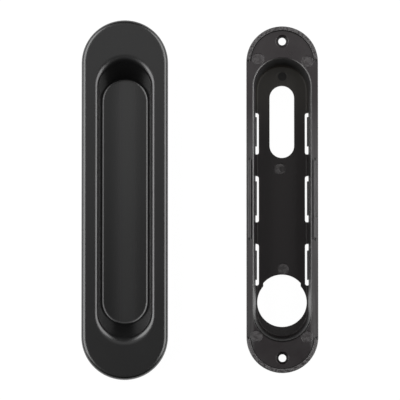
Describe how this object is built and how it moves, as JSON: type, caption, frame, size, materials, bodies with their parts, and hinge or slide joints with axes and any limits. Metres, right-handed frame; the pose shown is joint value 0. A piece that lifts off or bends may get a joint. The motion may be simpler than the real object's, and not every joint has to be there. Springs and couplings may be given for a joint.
{
  "type": "sliding door handle",
  "caption": "Flush pull handle for a sliding door: a pressed metal cover with a long finger recess, beside the moulded base that screws into the door and holds it.",
  "frame": {"origin": "bottom centre of the box around both pieces, on the surface that they lie on", "axes": "+Y along the handle, towards the end with the slot in the base; +Z out of the door, from the pans to the faces; +X from the cover to the base"},
  "size_m": [0.0984, 0.15, 0.0136],
  "materials": {
    "satin_black_paint": "satin",
    "black_plastic": "satin"
  },
  "bodies": {
    "root": {"cover": "satin_black_paint", "mounting_base": "black_plastic"}
  },
  "joints": []
}
